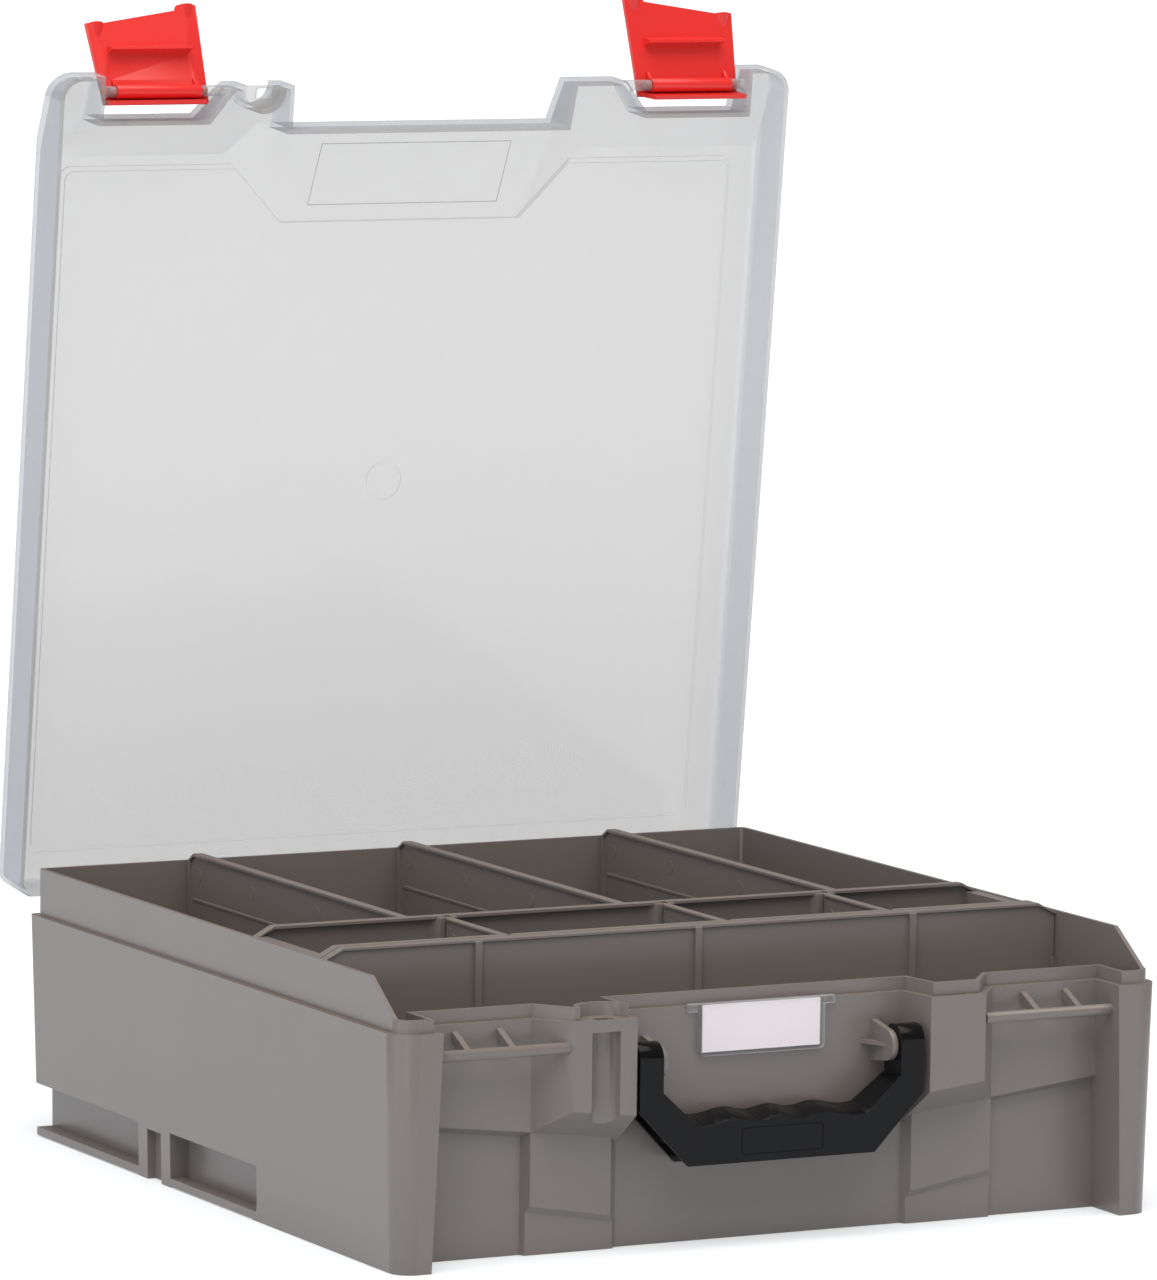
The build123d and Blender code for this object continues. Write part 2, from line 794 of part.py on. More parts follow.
def latch_horns(side):
    """Two tapering horns at the ends of the tip of a latch, for the fingers."""
    x0 = side * latch_x
    y_in = latch_pivot_y - latch_face_gap
    y_out = y_in - latch_face_t
    z_tip = latch_pivot_z - latch_reach - latch_horn_rise
    tip = side * (latch_tip_w / 2 + over)
    horn = side * (latch_tip_w / 2 - 2 * latch_horn_r)
    with BuildPart() as horns:
        for end in (-1, 1):
            z_horn = z_tip + end * side * latch_tip_rise - over
            x_horn = x0 + end * (latch_tip_w / 2 - latch_horn_r - latch_horn_in)
            with Locations(Location((x_horn, fy(y_out), z_horn + latch_horn_l / 2))):
                Cone(latch_horn_r, latch_horn_tip_r, latch_horn_l + over)
        # nothing in front of the face or below the tip
        with Locations((x0, fy(y_out + bite), 0)):
            Box(
                2 * latch_tip_w,
                2 * latch_horn_r,
                2 * rim_z,
                align=(Align.CENTER, Align.MAX, Align.CENTER),
                mode=Mode.SUBTRACT,
            )
        with BuildSketch(front_plane(y_out - over, x0)):
            Polygon(
                (tip, z_tip + latch_tip_rise),
                (horn, z_tip + latch_tip_rise),
                (-horn, z_tip - latch_tip_rise),
                (-tip, z_tip - latch_tip_rise),
                (-tip, 0),
                (tip, 0),
                align=None,
            )
        extrude(amount=-4 * latch_horn_r, mode=Mode.SUBTRACT)
    return horns.part


def latch(side):
    """One latch, closed: plate with a flange on top, barrel with stubs, hook and horns."""
    x0 = side * latch_x
    y_in = latch_pivot_y - latch_face_gap
    y_out = y_in - latch_face_t
    z_top = latch_pivot_z + latch_lip
    z_tip = latch_pivot_z - latch_reach
    tip = side * latch_tip_w / 2
    top = side * latch_top_w / 2
    horn = tip - side * 2 * latch_horn_r
    horn_z = latch_tip_rise - latch_horn_rise
    with BuildPart() as body:
        with BuildSketch(front_plane(y_out, x0)) as face:
            Polygon(
                (-top, z_top),
                (top, z_top),
                (tip, z_tip + horn_z),
                (horn, z_tip + horn_z),
                (horn - side * over, z_tip + latch_tip_rise * horn / tip),
                (-horn + side * over, z_tip - latch_tip_rise * horn / tip),
                (-horn, z_tip - latch_tip_rise - latch_horn_rise),
                (-tip, z_tip - latch_tip_rise - latch_horn_rise),
                align=None,
            )
        extrude(amount=-latch_face_t)
        # flange along the top, cut back at its inner end
        tilt = radians(latch_flange_tilt)
        flange = Plane(
            origin=(x0, fy(y_in), z_top - latch_flange_t),
            x_dir=(1, 0, 0),
            z_dir=(0, -sin(tilt), cos(tilt)),
        )
        with BuildSketch(flange):
            Polygon(
                (top, -latch_face_t / 2),
                (top + side * latch_flange_flare, latch_flange_d),
                (-top + side * latch_flange_cut, latch_flange_d),
                (-top, -latch_face_t / 2),
                align=None,
            )
        extrude(amount=latch_flange_t)
        with Locations(Location((x0, fy(latch_pivot_y), latch_pivot_z), (0, 90, 0))):
            Cylinder(latch_barrel_r, latch_barrel_l)
            Cylinder(latch_stub_r, latch_barrel_l + 2 * fit_gap + 2 * latch_stub_l)
        # fins at the ends of the barrel
        for end in (-1, 1):
            with BuildSketch(side_plane(x0 + end * (latch_barrel_l - latch_fin_t) / 2 - latch_fin_t / 2)):
                Polygon(
                    (fy(y_in - bite), latch_pivot_z),
                    (fy(latch_pivot_y), latch_pivot_z),
                    (fy(latch_pivot_y), latch_pivot_z - latch_barrel_r),
                    (fy(y_in + over), latch_pivot_z - latch_barrel_r - latch_fin_h),
                    (fy(y_in - bite), latch_pivot_z - latch_barrel_r - latch_fin_h),
                    align=None,
                )
            extrude(amount=latch_fin_t)
        # hook bar that catches under the keeper
        hook_z = latch_pivot_z - hook_drop
        with BuildSketch(side_plane(x0 - hook_l / 2)):
            Polygon(
                (fy(y_in - bite), hook_z),
                (fy(latch_pivot_y + hook_back), hook_z),
                (fy(latch_pivot_y + hook_back), hook_z - hook_nose),
                (fy(y_in + over), hook_z - hook_t),
                (fy(y_in - bite), hook_z - hook_t),
                align=None,
            )
        extrude(amount=hook_l)
        add(latch_horns(side))
    return body.part


hinge_axis = Axis((0, fy(hinge_y), hinge_z), (-1, 0, 0))
pivot_axis = Axis((0, fy(latch_pivot_y), latch_pivot_z), (-1, 0, 0))
lid = lid_closed.part.rotate(hinge_axis, lid_open)
lid.label = "lid_shell"
export_step(lid, "parts/lid_shell.step")
for name, side, angle in (("latch_left", -1, latch_open_left), ("latch_right", 1, latch_open_right)):
    placed = latch(side).rotate(pivot_axis, angle).rotate(hinge_axis, lid_open)
    placed.label = name
    export_step(placed, "parts/" + name + ".step")

# Two hinge pins, tight in the lugs of the tub.
with BuildPart() as pins:
    for side in (-1, 1):
        with Locations(Location((side * hinge_x, fy(hinge_y), hinge_z), (0, 90, 0))):
            Cylinder(hinge_pin_r, knuckle_w + 2 * fit_gap + 2 * lug_w)
pins.part.label = "hinge_pins"
export_step(pins.part, "parts/hinge_pins.step")


def grip_side(rise, depth_y):
    """Front view of the handle: a flat-bottomed U whose grip is wavy for the fingers."""
    arm_in = handle_out - handle_arm
    grip = handle_grip + rise
    crest = grip + finger_wave
    dip = grip - finger_wave
    pitch = handle_grip_foot / 2
    with BuildSketch(front_plane(depth_y)) as side_sk:
        with BuildLine():
            Polyline(
                (handle_grip_foot, dip),
                (arm_in, handle_inner_knee),
                (arm_in, handle_top),
                (handle_out, handle_top),
                (handle_out, handle_knee),
                (handle_foot, handle_bottom),
                (-handle_foot, handle_bottom),
                (-handle_out, handle_knee),
                (-handle_out, handle_top),
                (-arm_in, handle_top),
                (-arm_in, handle_inner_knee),
                (-handle_grip_foot, dip),
            )
            Spline(
                (-handle_grip_foot, dip),
                (-1.5 * pitch, dip),
                (-pitch, crest),
                (-pitch / 2, dip),
                (0, crest),
                (pitch / 2, dip),
                (pitch, crest),
                (1.5 * pitch, dip),
                (handle_grip_foot, dip),
            )
        make_face()
    return side_sk.sketch


# Handle: a channel bent to a flat U, open round its outer edge, hanging on two studs.
with BuildPart() as handle:
    handle_d = handle_back - handle_front
    arm_in = handle_out - handle_arm
    add(grip_side(0, handle_front))
    add(grip_side(handle_grip_rise, handle_back))
    loft(ruled=True)
    with BuildSketch(side_plane(-half)) as profile:
        with Locations((fy(handle_front), handle_top)):
            Rectangle(handle_d, handle_top, align=(Align.MIN, Align.MAX))
        fillet(profile.vertices().group_by(Axis.Z)[-1], handle_top_r)
    extrude(amount=width, mode=Mode.INTERSECT)
    # hollow between the front and back skins, below the solid ends of the arms
    hollow_dip = handle_grip - finger_wave - handle_skin
    with BuildSketch(front_plane(handle_front + handle_skin)):
        Polygon(
            (-handle_out - over, handle_cap_z),
            (-handle_out - over, handle_bottom - over),
            (handle_out + over, handle_bottom - over),
            (handle_out + over, handle_cap_z),
            (arm_in + handle_skin, handle_cap_z),
            (arm_in + handle_skin, handle_inner_knee - handle_skin / 2),
            (handle_grip_foot + handle_skin / 2, hollow_dip),
            (-handle_grip_foot - handle_skin / 2, hollow_dip),
            (-arm_in - handle_skin, handle_inner_knee - handle_skin / 2),
            (-arm_in - handle_skin, handle_cap_z),
            align=None,
        )
    extrude(amount=-(handle_d - 2 * handle_skin), mode=Mode.SUBTRACT)
    # ribs across the hollow
    with BuildSketch(front_plane(handle_front + over)):
        with GridLocations(2 * handle_foot / (handle_ribs - 2), 0, handle_ribs, 1):
            Rectangle(handle_rib_t, 2 * handle_top)
        Polygon(
            (-handle_out + over, handle_knee + over),
            (-handle_foot + over, handle_bottom + over),
            (handle_foot - over, handle_bottom + over),
            (handle_out - over, handle_knee + over),
            (arm_in, handle_inner_knee - over),
            (handle_grip_foot, hollow_dip + over),
            (-handle_grip_foot, hollow_dip + over),
            (-arm_in, handle_inner_knee - over),
            align=None,
            mode=Mode.INTERSECT,
        )
    extrude(amount=-(handle_d - 2 * over))
    # studs that turn in the ears
    stud_start = ear_in + ear_skin + fit_gap
    for side in (-1, 1):
        with BuildSketch(side_plane(side * stud_start)):
            with Locations((fy(handle_pivot_y), handle_pivot_z)):
                Circle(handle_stud_r)
        extrude(amount=side * (arm_in + over - stud_start))
    # fine line round the plain field in the middle of the grip
    with BuildSketch(front_plane(handle_front)):
        with Locations((0, (handle_bottom + handle_grip) / 2)):
            RectangleRounded(badge_w, badge_h, 3 * badge_line)
            RectangleRounded(
                badge_w - 2 * badge_line,
                badge_h - 2 * badge_line,
                2 * badge_line,
                mode=Mode.SUBTRACT,
            )
    extrude(amount=-badge_depth, mode=Mode.SUBTRACT)
handle.part.label = "handle"
export_step(handle.part, "parts/handle.step")

# Label holder: clear pocket on the middle panel, open at the top.
card_y = panel_y - holder_back
with BuildPart() as holder:
    with Locations((0, fy(panel_y), holder_top)):
        Box(holder_w, holder_d, holder_h, align=(Align.CENTER, Align.MAX, Align.MAX))
    fillet(holder.edges().filter_by(Axis.Y).group_by(Axis.Z)[0], holder_r)
    with Locations((0, fy(panel_y), holder_top)):
        Box(holder_lip_w, holder_lip_d, holder_lip_h, align=(Align.CENTER, Align.MAX, Align.MAX))
    with Locations((0, fy(card_y), holder_top + over)):
        Box(
            card_w + 2 * fit_gap,
            card_gap,
            card_h + card_drop + over,
            align=(Align.CENTER, Align.MAX, Align.MAX),
            mode=Mode.SUBTRACT,
        )
holder.part.label = "label_holder"
export_step(holder.part, "parts/label_holder.step")

with BuildPart() as card:
    with Locations((0, fy(card_y - card_gap / 2), holder_top - card_drop)):
        Box(card_w, card_t, card_h, align=(Align.CENTER, Align.CENTER, Align.MAX))
card.part.label = "label_card"
export_step(card.part, "parts/label_card.step")


def cross_wall(y0, y1, bead_y0, bead_y1, z0):
    """Upright wall across the case with cut top corners and a bead along the top."""
    cut_x = wall_x - corner_cut
    edge_z = divider_top - corner_drop
    bead_z = divider_top - bead_h
    with BuildPart() as plate:
        with BuildSketch(front_plane(y0)):
            Polygon(
                (-wall_x, z0),
                (wall_x, z0),
                (wall_x, edge_z),
                (cut_x, divider_top),
                (-cut_x, divider_top),
                (-wall_x, edge_z),
                align=None,
            )
        extrude(amount=-(y1 - y0))
        with BuildSketch(front_plane(bead_y0)):
            Polygon(
                (-wall_x, edge_z - bead_h / 2),
                (-cut_x, bead_z),
                (cut_x, bead_z),
                (wall_x, edge_z - bead_h / 2),
                (wall_x, edge_z),
                (cut_x, divider_top),
                (-cut_x, divider_top),
                (-wall_x, edge_z),
                align=None,
            )
        extrude(amount=-(bead_y1 - bead_y0))
    return plate.part


wall_x = half - inner - fit_gap
stand_z = floor_t + fit_gap

# Front partition, standing between the ribs of the side walls.
with BuildPart() as partition:
    y0 = partition_y - divider_t / 2
    y1 = partition_y + divider_t / 2
    add(cross_wall(y0, y1, partition_y - bead_w / 2, partition_y + bead_w / 2, stand_z))
    for x in row_x:
        with Locations((x, fy(y0 + bite), stand_z)):
            Box(
                stiffener_w,
                stiffener_d + bite,
                divider_top - bead_h / 2 - stand_z,
                align=(Align.CENTER, Align.MAX, Align.MIN),
            )
partition.part.label = "front_partition"
export_step(partition.part, "parts/front_partition.step")

# Lift-out bin between the partition and the rear row.
bin_half = half - bin_flange_in + bin_wall
bin_foot = bin_half - bin_draft
bin_top = rim_z - fit_gap
near = divider_t / 2 + fit_gap
with BuildPart() as lift_bin:
    with BuildSketch(front_plane(bin_y0)):
        Polygon(
            (-bin_foot, stand_z),
            (bin_foot, stand_z),
            (bin_half, bin_top),
            (-bin_half, bin_top),
            align=None,
        )
    extrude(amount=-(bin_y1 - bin_y0))
    with BuildSketch(front_plane(bin_y0 + bin_wall)):
        Polygon(
            (-bin_foot + bin_wall, stand_z + bin_floor_t),
            (bin_foot - bin_wall, stand_z + bin_floor_t),
            (bin_half - bin_wall, bin_top),
            (bin_half - bin_wall, bin_top + over),
            (-bin_half + bin_wall, bin_top + over),
            (-bin_half + bin_wall, bin_top),
            align=None,
        )
    extrude(amount=-(bin_y1 - bin_y0 - 2 * bin_wall), mode=Mode.SUBTRACT)
    add(cross_wall(bin_y0, bin_y0 + bin_wall, bin_y0, bin_y0 + bead_w, bin_wing_z))
    add(cross_wall(bin_y1 - bin_wall, bin_y1, bin_y1 - bead_w, bin_y1, bin_wing_z))
    # side flanges level with the rim
    for side in (-1, 1):
        with Locations((side * wall_x, fy(bin_y0 + over), bin_top)):
            Box(
                wall_x - bin_half + bin_wall,
                bin_y1 - bin_y0 - 2 * over,
                bin_flange_t,
                align=(inward(side), Align.MIN, Align.MAX),
            )
    # post pairs for the middle dividers, on both long walls
    for x in middle_x:
        for side in (-1, 1):
            for wall_y, into in ((bin_y0 + bin_wall, 1), (bin_y1 - bin_wall, -1)):
                with BuildSketch(Plane.XY.offset(stand_z + over)):
                    Polygon(
                        (x + side * near, fy(wall_y - into * bite)),
                        (x + side * (near + post_w), fy(wall_y - into * bite)),
                        (x + side * (near + post_w * post_taper), fy(wall_y + into * post_d)),
                        (x + side * near, fy(wall_y + into * post_d)),
                        align=None,
                    )
                extrude(amount=divider_top - bead_h / 2 - stand_z - over)
    # way through the beads, so that the middle dividers lift out
    for x in middle_x:
        with Locations((x, fy(bin_y0 + bin_wall), bin_top)):
            Box(
                2 * near,
                bin_y1 - bin_y0 - 2 * bin_wall,
                divider_top - bin_top + over,
                align=(Align.CENTER, Align.MIN, Align.MIN),
                mode=Mode.SUBTRACT,
            )
    # post pairs behind the bin for the front ends of the rear dividers
    for x in row_x:
        for side in (-1, 1):
            post_x = x + side * (bead_w / 2 + fit_gap + row_post_w / 2)
            with Locations((post_x, fy(bin_y1 - bite), stand_z)):
                Box(
                    row_post_w,
                    row_post_d + bite,
                    divider_top - over - stand_z,
                    align=(Align.CENTER, Align.MIN, Align.MIN),
                )
lift_bin.part.label = "lift_out_bin"
export_step(lift_bin.part, "parts/lift_out_bin.step")

# Middle dividers, plain plates with a bead along the top between the posts.
for name, x in zip(("middle_divider_left", "middle_divider_centre", "middle_divider_right"), middle_x):
    m0 = bin_y0 + bin_wall + fit_gap
    m1 = bin_y1 - bin_wall - fit_gap
    foot_z = stand_z + bin_floor_t + fit_gap
    top = divider_top - middle_drop
    with BuildPart() as middle:
        with BuildSketch(side_plane(x - divider_t / 2)):
            Polygon(
                (fy(m0), foot_z),
                (fy(m1), foot_z),
                (fy(m1), top - over),
                (fy(m1 - over), top),
                (fy(m0 + over), top),
                (fy(m0), top - over),
                align=None,
            )
        extrude(amount=divider_t)
        with Locations((x, fy((m0 + m1) / 2), top)):
            Box(
                middle_bead_w,
                m1 - m0 - 2 * post_d - 2 * over,
                bead_h,
                align=(Align.CENTER, Align.CENTER, Align.MAX),
            )
    middle.part.label = name
    export_step(middle.part, "parts/" + name + ".step")

# Rear dividers: plate with a bead along the top and down both ends.
for name, x in zip(("rear_divider_left", "rear_divider_centre", "rear_divider_right"), row_x):
    r0 = bin_y1 + fit_gap
    r1 = depth - inner - fit_gap
    with BuildPart() as rear:
        with BuildSketch(side_plane(x - divider_t / 2)):
            Polygon(
                (fy(r0), stand_z),
                (fy(r1), stand_z),
                (fy(r1), divider_top - row_corner_h),
                (fy(r1 - row_corner_l), divider_top),
                (fy(r0), divider_top),
                align=None,
            )
        extrude(amount=divider_t)
        with BuildSketch(side_plane(x - bead_w / 2)):
            Polygon(
                (fy(r0), stand_z),
                (fy(r0), divider_top),
                (fy(r1 - row_corner_l), divider_top),
                (fy(r1), divider_top - row_corner_h),
                (fy(r1), stand_z),
                (fy(r1 - bead_end), stand_z),
                (fy(r1 - bead_end), divider_top - row_corner_h),
                (fy(r1 - row_corner_l), divider_top - bead_h),
                (fy(r0 + bead_end), divider_top - bead_h),
                (fy(r0 + bead_end), stand_z),
                align=None,
            )
        extrude(amount=bead_w)
        # fine rib along both faces below the bead
        with Locations((x, fy((r0 + r1) / 2), rib_line_z)):
            Box(divider_t + 2 * rib_line_d, r1 - r0 - 2 * rib_line_end, rib_line_h)
    rear.part.label = name
    export_step(rear.part, "parts/" + name + ".step")
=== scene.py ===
"""Looks of a compartment storage case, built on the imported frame."""
import json
import logging
import math
from dataclasses import dataclass, field
from enum import Enum

import bmesh
import bpy
from mathutils import Matrix, Vector

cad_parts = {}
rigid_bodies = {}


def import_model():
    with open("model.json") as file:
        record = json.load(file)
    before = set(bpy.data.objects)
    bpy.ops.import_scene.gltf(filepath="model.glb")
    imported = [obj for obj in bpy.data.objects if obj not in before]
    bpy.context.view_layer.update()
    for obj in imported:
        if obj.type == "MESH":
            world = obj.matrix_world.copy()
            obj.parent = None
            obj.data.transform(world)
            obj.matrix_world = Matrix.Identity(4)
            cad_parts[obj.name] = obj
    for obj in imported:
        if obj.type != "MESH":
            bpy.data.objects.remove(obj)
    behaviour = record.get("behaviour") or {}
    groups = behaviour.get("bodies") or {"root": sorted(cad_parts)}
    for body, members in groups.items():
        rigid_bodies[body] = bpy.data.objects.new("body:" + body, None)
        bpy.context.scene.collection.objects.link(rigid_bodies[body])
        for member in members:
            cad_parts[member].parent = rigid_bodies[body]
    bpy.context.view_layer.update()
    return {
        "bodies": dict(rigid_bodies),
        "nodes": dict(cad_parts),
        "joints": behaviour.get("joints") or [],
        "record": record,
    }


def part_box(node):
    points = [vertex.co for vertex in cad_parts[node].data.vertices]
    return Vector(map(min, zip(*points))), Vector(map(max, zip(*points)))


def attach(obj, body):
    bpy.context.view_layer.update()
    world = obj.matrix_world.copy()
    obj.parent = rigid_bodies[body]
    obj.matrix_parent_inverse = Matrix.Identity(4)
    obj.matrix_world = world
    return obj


log = logging.getLogger("storage_case")

Rgb = tuple[float, float, float]

MM = 0.001
LID_BODY = "lid"
WELD_GAP = 0.000004
FLAT_DEG = 0.4
EDGE_DEG = 30.0
EDGE_STEPS = 2
PAD_STEPS = 28
FLOOR_DROP = 0.0002


class Row(str, Enum):
    """Rows of dividers, as their bodies are named."""

    REAR = "rear"
    MIDDLE = "middle"


class Where(str, Enum):
    """Places of a divider in its row."""

    LEFT = "left"
    CENTRE = "centre"
    RIGHT = "right"


class Slot(str, Enum):
    """Names for material slots of the added pieces, not used: the pieces take their materials
    directly.
    """

    GREY = "grey_abs"
    LID = "clear_lid"


@dataclass(frozen=True)
class MouldedFinish:
    """Opaque moulded plastic: spark-eroded grain, flow mottle and handling smudges."""

    name: str
    colour: Rgb
    warm: Rgb
    roughness: float
    grain_mm: float
    grain_depth: float
    smudge: float
    specular: float = 0.5


@dataclass(frozen=True)
class ClearFinish:
    """Milky clear moulded plastic: thin where it is faced, denser towards its edges."""

    name: str
    wall: Rgb
    panel: Rgb
    # painted reflection: a cool tint mixed in where a face is seen at a slant
    slant_reflection: Rgb
    roughness: float
    faced: float
    edge: float
    rise: float
    panel_edge: float
    grain_mm: float
    grain_depth: float
    # painted shade: how much denser, and so darker, the lid grows towards its foot
    foot_shade: float = 0.0
    ior: float = 1.49


@dataclass(frozen=True)
class PaperFinish:
    """Uncoated card with a slight fibre."""

    name: str
    colour: Rgb
    fibre_mm: float
    fibre_depth_mm: float = 0.02
    roughness: float = 0.9
    smudge: float = 0.05


@dataclass(frozen=True)
class SteelFinish:
    """Drawn steel wire."""

    name: str
    colour: Rgb
    roughness: float
    smudge: float = 0.2


def new_socket(
    tree: bpy.types.NodeTree, name: str, way: str, kind: str, value: object = None
) -> None:
    """Adds a named socket to a node group.

    Args:
        tree: the group.
        name: the socket's name.
        way: INPUT or OUTPUT.
        kind: the socket type.
        value: an input's default.
    """
    socket = tree.interface.new_socket(name=name, in_out=way, socket_type=kind)
    if value is not None:
        socket.default_value = value


class EffectGroups:
    """Shader node groups that several materials share, each built once."""

    pit_share = 0.4
    flow_scale = 7.0
    hand_scale = 28.0
    speck_from = (0.2, 0.8)
    speck_to = (0.95, 1.05)
    panel_from = (0.75, 0.93)
    # painted shade: heights in metres between which the lid darkens towards its foot
    foot_shade_from_z = (0.40, 0.10)

    def __init__(self) -> None:
        """Builds the groups."""
        self.grain = self._grain()
        self.mottle = self._mottle()
        self.frost = self._frost()

    @staticmethod
    def _tree(name: str) -> tuple[bpy.types.NodeTree, bpy.types.Node, bpy.types.Node]:
        """Starts a group with its input and output nodes.

        Args:
            name: the group's name.

        Returns:
            The tree, its input node and its output node.
        """
        tree = bpy.data.node_groups.new(name, "ShaderNodeTree")
        return tree, tree.nodes.new("NodeGroupInput"), tree.nodes.new("NodeGroupOutput")

    def _grain(self) -> bpy.types.NodeTree:
        """Spark-eroded mould grain.

        Returns:
            A group from Size in metres and Depth to Height and Speck.
        """
        tree, start, end = self._tree("mould_grain")
        new_socket(tree, "Size", "INPUT", "NodeSocketFloat", 0.0005)
        new_socket(tree, "Depth", "INPUT", "NodeSocketFloat", 1.0)
        new_socket(tree, "Height", "OUTPUT", "NodeSocketFloat")
        new_socket(tree, "Speck", "OUTPUT", "NodeSocketFloat")
        nodes, links = tree.nodes, tree.links
        place = nodes.new("ShaderNodeTexCoord")
        scale = nodes.new("ShaderNodeMath")
        scale.operation = "DIVIDE"
        scale.inputs[0].default_value = 1.0
        links.new(start.outputs["Size"], scale.inputs[1])
        noise = nodes.new("ShaderNodeTexNoise")
        noise.inputs["Detail"].default_value = 2.0
        noise.inputs["Roughness"].default_value = 0.6
        links.new(place.outputs["Object"], noise.inputs["Vector"])
        links.new(scale.outputs[0], noise.inputs["Scale"])
        cells = nodes.new("ShaderNodeTexVoronoi")
        cells.inputs["Randomness"].default_value = 1.0
        links.new(place.outputs["Object"], cells.inputs["Vector"])
        links.new(scale.outputs[0], cells.inputs["Scale"])
        both = nodes.new("ShaderNodeMath")
        both.operation = "MULTIPLY_ADD"
        both.inputs[1].default_value = self.pit_share
        links.new(cells.outputs["Distance"], both.inputs[0])
        links.new(noise.outputs["Fac"], both.inputs[2])
        depth = nodes.new("ShaderNodeMath")
        depth.operation = "MULTIPLY"
        links.new(both.outputs[0], depth.inputs[0])
        links.new(start.outputs["Depth"], depth.inputs[1])
        links.new(depth.outputs[0], end.inputs["Height"])
        links.new(noise.outputs["Fac"], end.inputs["Speck"])
        return tree

    def _mottle(self) -> bpy.types.NodeTree:
        """Slow change of tone from the flow of the plastic, and smudges from hands.

        Returns:
            A group from Colour, Warm, Speck, Roughness and Smudge to Colour and Roughness.
        """
        tree, start, end = self._tree("flow_and_smudge")
        new_socket(tree, "Colour", "INPUT", "NodeSocketColor", (0.3, 0.3, 0.3, 1))
        new_socket(tree, "Warm", "INPUT", "NodeSocketColor", (0.3, 0.28, 0.26, 1))
        new_socket(tree, "Speck", "INPUT", "NodeSocketFloat", 0.5)
        new_socket(tree, "Roughness", "INPUT", "NodeSocketFloat", 0.4)
        new_socket(tree, "Smudge", "INPUT", "NodeSocketFloat", 0.1)
        new_socket(tree, "Colour", "OUTPUT", "NodeSocketColor")
        new_socket(tree, "Roughness", "OUTPUT", "NodeSocketFloat")
        nodes, links = tree.nodes, tree.links
        place = nodes.new("ShaderNodeTexCoord")
        flow = nodes.new("ShaderNodeTexNoise")
        flow.inputs["Scale"].default_value = self.flow_scale
        flow.inputs["Detail"].default_value = 3.0
        links.new(place.outputs["Object"], flow.inputs["Vector"])
        tone = nodes.new("ShaderNodeMix")
        tone.data_type = "RGBA"
        links.new(flow.outputs["Fac"], tone.inputs["Factor"])
        links.new(start.outputs["Colour"], tone.inputs["A"])
        links.new(start.outputs["Warm"], tone.inputs["B"])
        speck = nodes.new("ShaderNodeMapRange")
        speck.inputs["From Min"].default_value = self.speck_from[0]
        speck.inputs["From Max"].default_value = self.speck_from[1]
        speck.inputs["To Min"].default_value = self.speck_to[0]
        speck.inputs["To Max"].default_value = self.speck_to[1]
        links.new(start.outputs["Speck"], speck.inputs["Value"])
        shade = nodes.new("ShaderNodeVectorMath")
        shade.operation = "SCALE"
        links.new(tone.outputs["Result"], shade.inputs[0])
        links.new(speck.outputs["Result"], shade.inputs["Scale"])
        hand = nodes.new("ShaderNodeTexNoise")
        hand.inputs["Scale"].default_value = self.hand_scale
        hand.inputs["Detail"].default_value = 2.0
        links.new(place.outputs["Object"], hand.inputs["Vector"])
        centre = nodes.new("ShaderNodeMath")
        centre.operation = "SUBTRACT"
        centre.inputs[1].default_value = 0.5
        links.new(hand.outputs["Fac"], centre.inputs[0])
        rough = nodes.new("ShaderNodeMath")
        rough.operation = "MULTIPLY_ADD"
        rough.use_clamp = True
        links.new(centre.outputs[0], rough.inputs[0])
        links.new(start.outputs["Smudge"], rough.inputs[1])
        links.new(start.outputs["Roughness"], rough.inputs[2])
        links.new(shade.outputs["Vector"], end.inputs["Colour"])
        links.new(rough.outputs[0], end.inputs["Roughness"])
        return tree

    def _frost(self) -> bpy.types.NodeTree:
        """How far a face lies along the lid's panel.

        Returns:
            A group from Across, the panel's direction, to Mask, and to Low, a painted
            shade that makes the lid denser and darker towards its foot.
        """
        tree, start, end = self._tree("panel_frost")
        new_socket(tree, "Across", "INPUT", "NodeSocketVector", (0.0, 1.0, 0.0))
        new_socket(tree, "Mask", "OUTPUT", "NodeSocketFloat")
        new_socket(tree, "Low", "OUTPUT", "NodeSocketFloat")
        nodes, links = tree.nodes, tree.links
        place = nodes.new("ShaderNodeTexCoord")
        dot = nodes.new("ShaderNodeVectorMath")
        dot.operation = "DOT_PRODUCT"
        links.new(place.outputs["Normal"], dot.inputs[0])
        links.new(start.outputs["Across"], dot.inputs[1])
        size = nodes.new("ShaderNodeMath")
        size.operation = "ABSOLUTE"
        links.new(dot.outputs["Value"], size.inputs[0])
        step = nodes.new("ShaderNodeMapRange")
        step.interpolation_type = "SMOOTHSTEP"
        step.inputs["From Min"].default_value = self.panel_from[0]
        step.inputs["From Max"].default_value = self.panel_from[1]
        links.new(size.outputs[0], step.inputs["Value"])
        links.new(step.outputs["Result"], end.inputs["Mask"])
        split = nodes.new("ShaderNodeSeparateXYZ")
        links.new(place.outputs["Object"], split.inputs[0])
        low = nodes.new("ShaderNodeMapRange")
        low.interpolation_type = "SMOOTHSTEP"
        low.inputs["From Min"].default_value = self.foot_shade_from_z[0]
        low.inputs["From Max"].default_value = self.foot_shade_from_z[1]
        links.new(split.outputs["Z"], low.inputs["Value"])
        links.new(low.outputs["Result"], end.inputs["Low"])
        return tree


def rgba(colour: Rgb) -> tuple[float, float, float, float]:
    """A colour with full alpha."""
    return (*colour, 1.0)


